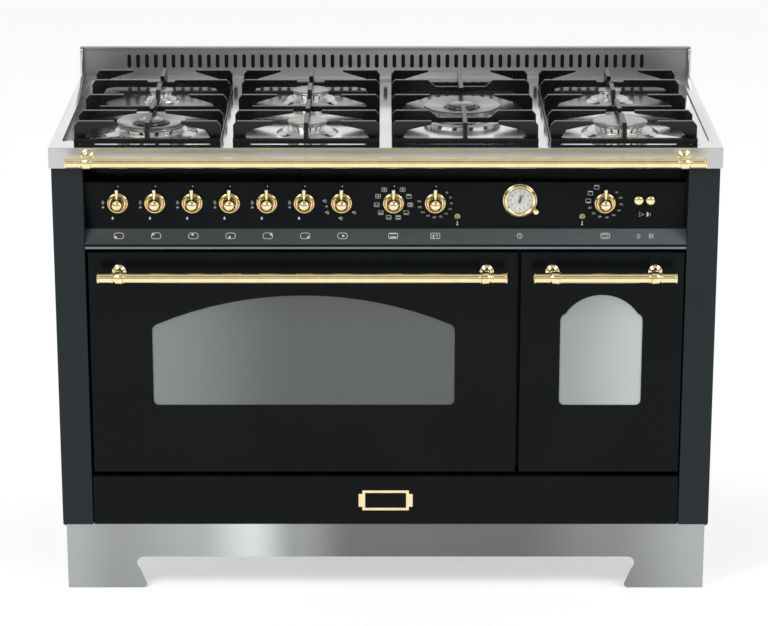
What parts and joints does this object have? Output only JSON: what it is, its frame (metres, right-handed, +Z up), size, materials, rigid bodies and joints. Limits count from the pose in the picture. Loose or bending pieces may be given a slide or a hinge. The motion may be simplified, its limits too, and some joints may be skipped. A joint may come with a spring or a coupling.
{
  "type": "range cooker",
  "caption": "Freestanding gas range cooker with cast pan grates, two ovens with arched windows, brass bars and knobs, a round clock and a stainless plinth.",
  "frame": {"origin": "middle of the footprint on the floor, the towel rail counted in its depth", "axes": "+X to the right along the front, +Y to the back, +Z up"},
  "size_m": [1.2, 0.657, 0.908],
  "materials": {
    "aluminium": "cast crown",
    "anthracite": "dark satin enamel",
    "black_enamel": "satin black enamel",
    "brass": "polished brass",
    "cap_enamel": "matt black enamel",
    "cast_iron": "black enamelled cast iron",
    "chrome_wire": "chromed wire",
    "element": "sheathed element",
    "galvanised": "zinc plated sheet",
    "hand_black": "blackened",
    "oven_enamel": "speckled oven enamel",
    "plastic": "moulded",
    "seal": "heat-proof braid",
    "stainless": "brushed stainless",
    "steel": "machined steel",
    "window_glass": "mirror-tinted glass"
  },
  "bodies": {
    "cooker": {"worktop": "stainless", "splashback": "stainless", "cabinet_sides": "anthracite", "rear_panel": "galvanised", "base_frame": "galvanised", "front_frame": "black_enamel", "control_panel": "black_enamel", "plinth": "stainless", "levelling_feet": "galvanised", "towel_rail": "brass", "main_oven_liner": "oven_enamel", "small_oven_liner": "oven_enamel", "oven_racks": "chrome_wire", "oven_seals": "seal", "oven_elements": "element", "fan_unit": "steel", "burner_cups": "stainless", "burner_heads": "aluminium", "burner_caps": "cap_enamel", "gas_manifold": "steel", "panel_fittings": "brass", "clock_case": "brass", "terminal_box": "plastic"},
    "oven_fan": {"oven_fan": "steel"},
    "storage_drawer": {"drawer_front": "black_enamel", "drawer_box": "steel"},
    "main_door": {"main_door_panel": "black_enamel", "main_door_glass": "window_glass", "main_door_liner": "oven_enamel", "main_door_handle": "brass"},
    "small_door": {"small_door_panel": "black_enamel", "small_door_glass": "window_glass", "small_door_liner": "oven_enamel", "small_door_handle": "brass"},
    "gas_spindle_1": {"gas_spindle_1": "steel"},
    "gas_knob_1": {"gas_knob_1": "brass"},
    "gas_spindle_2": {"gas_spindle_2": "steel"},
    "gas_knob_2": {"gas_knob_2": "brass"},
    "gas_spindle_3": {"gas_spindle_3": "steel"},
    "gas_knob_3": {"gas_knob_3": "brass"},
    "gas_spindle_4": {"gas_spindle_4": "steel"},
    "gas_knob_4": {"gas_knob_4": "brass"},
    "gas_spindle_5": {"gas_spindle_5": "steel"},
    "gas_knob_5": {"gas_knob_5": "brass"},
    "gas_spindle_6": {"gas_spindle_6": "steel"},
    "gas_knob_6": {"gas_knob_6": "brass"},
    "gas_spindle_7": {"gas_spindle_7": "steel"},
    "gas_knob_7": {"gas_knob_7": "brass"},
    "function_knob": {"function_knob": "brass"},
    "main_thermostat_knob": {"main_thermostat_knob": "brass"},
    "small_thermostat_knob": {"small_thermostat_knob": "brass"},
    "light_button": {"light_button": "brass"},
    "spark_button": {"spark_button": "brass"},
    "clock_knob": {"clock_knob": "brass"},
    "minute_hand": {"minute_hand": "hand_black"},
    "hour_hand": {"hour_hand": "hand_black"},
    "grate_left": {"grate_left": "cast_iron"},
    "grate_mid_left": {"grate_mid_left": "cast_iron"},
    "grate_triple": {"grate_triple": "cast_iron"},
    "grate_right": {"grate_right": "cast_iron"}
  },
  "joints": [
    {"name": "storage_drawer_slide", "type": "slide", "parent": "cooker", "child": "storage_drawer", "axis": [0, -1, 0], "range_m": [0, 0.3]},
    {"name": "main_door_hinge", "type": "hinge", "parent": "cooker", "child": "main_door", "pos_m": [-0.149, -0.24779, 0.246], "axis": [1, 0, 0], "range_deg": [0, 90]},
    {"name": "small_door_hinge", "type": "hinge", "parent": "cooker", "child": "small_door", "pos_m": [0.391, -0.24779, 0.246], "axis": [1, 0, 0], "range_deg": [0, 90]},
    {"name": "oven_fan_spin", "type": "hinge", "parent": "cooker", "child": "oven_fan", "pos_m": [-0.149, 0.21821, 0.452], "axis": [0, -1, 0], "continuous": true},
    {"name": "gas_tap_1_turn", "type": "hinge", "parent": "cooker", "child": "gas_spindle_1", "pos_m": [-0.4816, -0.25779, 0.741], "axis": [0, -1, 0], "range_deg": [0, 165]},
    {"name": "gas_knob_1_push", "type": "slide", "parent": "gas_spindle_1", "child": "gas_knob_1", "axis": [0, 1, 0], "range_m": [0, 0.003], "stiffness_N_per_m": 1500, "springref_m": -0.0005},
    {"name": "gas_tap_2_turn", "type": "hinge", "parent": "cooker", "child": "gas_spindle_2", "pos_m": [-0.41455, -0.25779, 0.741], "axis": [0, -1, 0], "range_deg": [0, 165]},
    {"name": "gas_knob_2_push", "type": "slide", "parent": "gas_spindle_2", "child": "gas_knob_2", "axis": [0, 1, 0], "range_m": [0, 0.003], "stiffness_N_per_m": 1500, "springref_m": -0.0005},
    {"name": "gas_tap_3_turn", "type": "hinge", "parent": "cooker", "child": "gas_spindle_3", "pos_m": [-0.3475, -0.25779, 0.741], "axis": [0, -1, 0], "range_deg": [0, 165]},
    {"name": "gas_knob_3_push", "type": "slide", "parent": "gas_spindle_3", "child": "gas_knob_3", "axis": [0, 1, 0], "range_m": [0, 0.003], "stiffness_N_per_m": 1500, "springref_m": -0.0005},
    {"name": "gas_tap_4_turn", "type": "hinge", "parent": "cooker", "child": "gas_spindle_4", "pos_m": [-0.28045, -0.25779, 0.741], "axis": [0, -1, 0], "range_deg": [0, 165]},
    {"name": "gas_knob_4_push", "type": "slide", "parent": "gas_spindle_4", "child": "gas_knob_4", "axis": [0, 1, 0], "range_m": [0, 0.003], "stiffness_N_per_m": 1500, "springref_m": -0.0005},
    {"name": "gas_tap_5_turn", "type": "hinge", "parent": "cooker", "child": "gas_spindle_5", "pos_m": [-0.2134, -0.25779, 0.741], "axis": [0, -1, 0], "range_deg": [0, 165]},
    {"name": "gas_knob_5_push", "type": "slide", "parent": "gas_spindle_5", "child": "gas_knob_5", "axis": [0, 1, 0], "range_m": [0, 0.003], "stiffness_N_per_m": 1500, "springref_m": -0.0005},
    {"name": "gas_tap_6_turn", "type": "hinge", "parent": "cooker", "child": "gas_spindle_6", "pos_m": [-0.14635, -0.25779, 0.741], "axis": [0, -1, 0], "range_deg": [0, 165]},
    {"name": "gas_knob_6_push", "type": "slide", "parent": "gas_spindle_6", "child": "gas_knob_6", "axis": [0, 1, 0], "range_m": [0, 0.003], "stiffness_N_per_m": 1500, "springref_m": -0.0005},
    {"name": "gas_tap_7_turn", "type": "hinge", "parent": "cooker", "child": "gas_spindle_7", "pos_m": [-0.0793, -0.25779, 0.741], "axis": [0, -1, 0], "range_deg": [0, 165]},
    {"name": "gas_knob_7_push", "type": "slide", "parent": "gas_spindle_7", "child": "gas_knob_7", "axis": [0, 1, 0], "range_m": [0, 0.003], "stiffness_N_per_m": 1500, "springref_m": -0.0005},
    {"name": "function_knob_turn", "type": "hinge", "parent": "cooker", "child": "function_knob", "pos_m": [0.014, -0.25779, 0.741], "axis": [0, 1, 0], "range_deg": [0, 300]},
    {"name": "main_thermostat_knob_turn", "type": "hinge", "parent": "cooker", "child": "main_thermostat_knob", "pos_m": [0.089, -0.25779, 0.741], "axis": [0, 1, 0], "range_deg": [0, 285]},
    {"name": "small_thermostat_knob_turn", "type": "hinge", "parent": "cooker", "child": "small_thermostat_knob", "pos_m": [0.394, -0.25779, 0.741], "axis": [0, 1, 0], "range_deg": [0, 285]},
    {"name": "light_button_press", "type": "slide", "parent": "cooker", "child": "light_button", "axis": [0, 1, 0], "range_m": [0, 0.003], "stiffness_N_per_m": 800, "springref_m": -0.0005},
    {"name": "spark_button_press", "type": "slide", "parent": "cooker", "child": "spark_button", "axis": [0, 1, 0], "range_m": [0, 0.003], "stiffness_N_per_m": 800, "springref_m": -0.0005},
    {"name": "clock_knob_turn", "type": "hinge", "parent": "cooker", "child": "clock_knob", "pos_m": [0.2695, -0.25779, 0.7286], "axis": [0, 1, 0], "continuous": true},
    {"name": "minute_hand_turn", "type": "hinge", "parent": "cooker", "child": "minute_hand", "pos_m": [0.241, -0.24679, 0.746], "axis": [0, 1, 0], "continuous": true},
    {"name": "hour_hand_turn", "type": "hinge", "parent": "cooker", "child": "hour_hand", "pos_m": [0.241, -0.24579, 0.746], "axis": [0, 1, 0], "continuous": true},
    {"name": "grate_left_lift", "type": "slide", "parent": "cooker", "child": "grate_left", "axis": [0, 0, 1], "range_m": [0, 0.08]},
    {"name": "grate_mid_left_lift", "type": "slide", "parent": "cooker", "child": "grate_mid_left", "axis": [0, 0, 1], "range_m": [0, 0.08]},
    {"name": "grate_triple_lift", "type": "slide", "parent": "cooker", "child": "grate_triple", "axis": [0, 0, 1], "range_m": [0, 0.08]},
    {"name": "grate_right_lift", "type": "slide", "parent": "cooker", "child": "grate_right", "axis": [0, 0, 1], "range_m": [0, 0.08]}
  ],
  "couplings": [
    {"joint": "minute_hand_turn", "follows": "clock_knob_turn", "ratio": 0.5},
    {"joint": "hour_hand_turn", "follows": "clock_knob_turn", "ratio": 0.041667}
  ]
}
